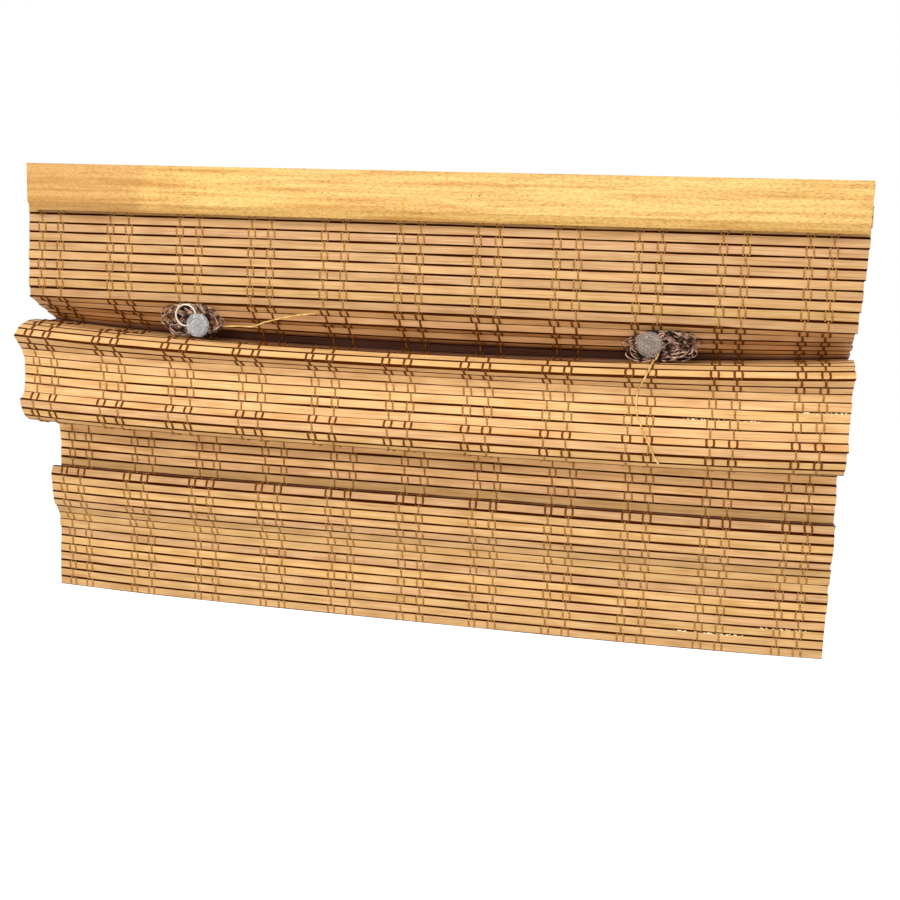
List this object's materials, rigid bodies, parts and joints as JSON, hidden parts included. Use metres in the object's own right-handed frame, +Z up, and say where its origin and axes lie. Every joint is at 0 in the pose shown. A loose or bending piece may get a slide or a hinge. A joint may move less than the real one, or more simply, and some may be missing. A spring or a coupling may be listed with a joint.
{
  "type": "bamboo roman shade",
  "caption": "Half-raised woven bamboo roman shade on a wooden headrail, folded into soft pleats, with stitched warp columns, clear cord discs, tangled lift cord and straw ties.",
  "frame": {"origin": "centre of the headrail's top face", "axes": "+X along the slats, to the right when seen from the cord side; +Y away from the cord side; +Z up"},
  "size_m": [0.683, 0.0854, 0.3785],
  "materials": {
    "rail_wood": "satin varnish",
    "staple_steel": "plain",
    "bamboo": "matte",
    "warp_thread": "matte",
    "clear_plastic": "clear, slightly frosted",
    "lift_cord": "braided",
    "straw": "dry straw"
  },
  "bodies": {
    "root": {"headrail": "rail_wood", "mat_staples": "staple_steel", "slats_rail": "bamboo", "slats_top_panel": "bamboo", "slats_tuck": "bamboo", "slats_crest": "bamboo", "slats_front_panel": "bamboo", "slats_return": "bamboo", "slats_back_panel": "bamboo", "slats_bottom_panel": "bamboo", "warp_01": "warp_thread", "warp_02": "warp_thread", "warp_03": "warp_thread", "warp_04": "warp_thread", "warp_05": "warp_thread", "warp_06": "warp_thread", "warp_07": "warp_thread", "warp_08": "warp_thread", "warp_09": "warp_thread", "warp_10": "warp_thread", "warp_11": "warp_thread", "orb_left": "clear_plastic", "orb_right": "clear_plastic", "ring_left": "clear_plastic", "lift_cord_left": "lift_cord", "lift_cord_right": "lift_cord", "tie_left": "straw", "tie_right": "straw"}
  },
  "joints": []
}
